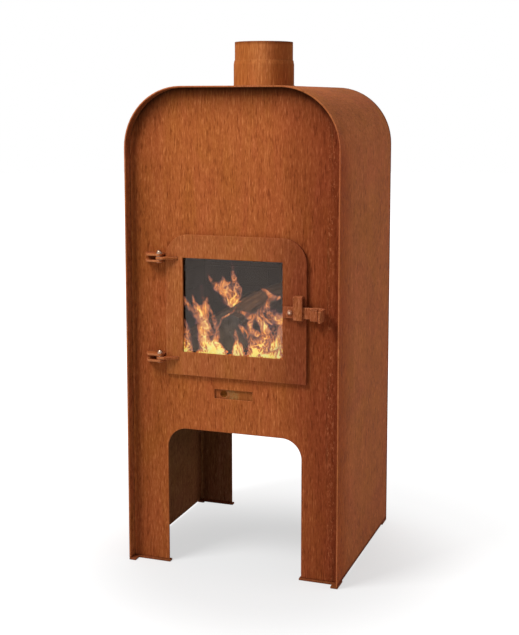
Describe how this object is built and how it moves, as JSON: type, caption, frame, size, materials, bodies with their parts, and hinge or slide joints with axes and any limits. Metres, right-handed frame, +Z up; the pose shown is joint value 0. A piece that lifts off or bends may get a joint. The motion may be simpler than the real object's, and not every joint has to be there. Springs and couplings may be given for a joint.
{
  "type": "patio stove",
  "caption": "Free-standing wood-burning patio stove of weathering steel on a legged arch casing, with hinged glass door, lift-up latch lever, sliding air control and top flue spigot.",
  "frame": {"origin": "middle of the bounding box on the floor, under the foot plates", "axes": "+Z up through the flue, +X to the stove's right as seen from the front, +Y from the door to the back"},
  "size_m": [0.55, 0.5328, 1.309],
  "materials": {
    "corten_shell": "rust patina, matt, with fine upright streaks",
    "corten_face": "rust patina, matt, with fine upright streaks",
    "corten_fitting": "rust patina, matt, with fine upright streaks",
    "raw_steel": "heat-darkened mill scale, matt",
    "stainless": "bright stainless",
    "cast_iron": "sooty, matt",
    "fire_board": "fire-clay board, sooty, matt",
    "rope_seal": "pressed glass-fibre tape",
    "dark_glass": "dark ceramic glass"
  },
  "bodies": {
    "casing": {"outer_shell": "corten_shell", "front_plate": "corten_face", "back_plate": "corten_face", "flue_spigot": "corten_face", "flue_collar": "corten_face", "foot_plate_front_left": "corten_fitting", "foot_plate_front_right": "corten_fitting", "foot_plate_back_left": "corten_fitting", "foot_plate_back_right": "corten_fitting", "hinge_ear_upper_top": "corten_fitting", "hinge_ear_upper_bottom": "corten_fitting", "hinge_ear_lower_top": "corten_fitting", "hinge_ear_lower_bottom": "corten_fitting", "latch_keeper": "corten_fitting", "casing_floor": "raw_steel", "firebox_floor": "raw_steel", "ash_pan": "raw_steel", "baffle_plate": "raw_steel", "baffle_angle_left": "raw_steel", "baffle_angle_right": "raw_steel", "slide_runner_top": "raw_steel", "slide_runner_bottom": "raw_steel", "slide_stop_left": "raw_steel", "slide_stop_right": "raw_steel", "hinge_bolt_upper": "stainless", "hinge_bolt_lower": "stainless", "hinge_cap_nut_upper": "stainless", "hinge_cap_nut_lower": "stainless", "hinge_washer_upper_top": "stainless", "hinge_washer_upper_bottom": "stainless", "hinge_washer_lower_top": "stainless", "hinge_washer_lower_bottom": "stainless", "fire_grate": "cast_iron", "hearth_board": "fire_board", "liner_left": "fire_board", "liner_right": "fire_board", "liner_back": "fire_board"},
    "door": {"door_plate": "corten_face", "door_glass": "dark_glass", "glass_gasket": "rope_seal", "door_seal": "rope_seal", "glass_strip_top": "raw_steel", "glass_strip_bottom": "raw_steel", "glass_screw_top_left": "stainless", "glass_screw_top_right": "stainless", "glass_screw_bottom_left": "stainless", "glass_screw_bottom_right": "stainless", "hinge_leaf_upper": "corten_fitting", "hinge_leaf_lower": "corten_fitting", "latch_strap": "corten_fitting", "latch_screw": "stainless", "latch_washer": "stainless"},
    "lever": {"latch_lever": "corten_fitting"},
    "slide": {"air_slide": "corten_fitting"}
  },
  "joints": [
    {"name": "door_swing", "type": "hinge", "parent": "casing", "child": "door", "pos_m": [-0.187, -0.22565, 0.663], "axis": [0, 0, -1], "range_deg": [0, 165]},
    {"name": "latch_lift", "type": "hinge", "parent": "door", "child": "lever", "pos_m": [0.15, -0.21835, 0.663], "axis": [0, -1, 0], "range_deg": [0, 30]},
    {"name": "air_slide_travel", "type": "slide", "parent": "casing", "child": "slide", "axis": [1, 0, 0], "range_m": [0, 0.066]}
  ]
}
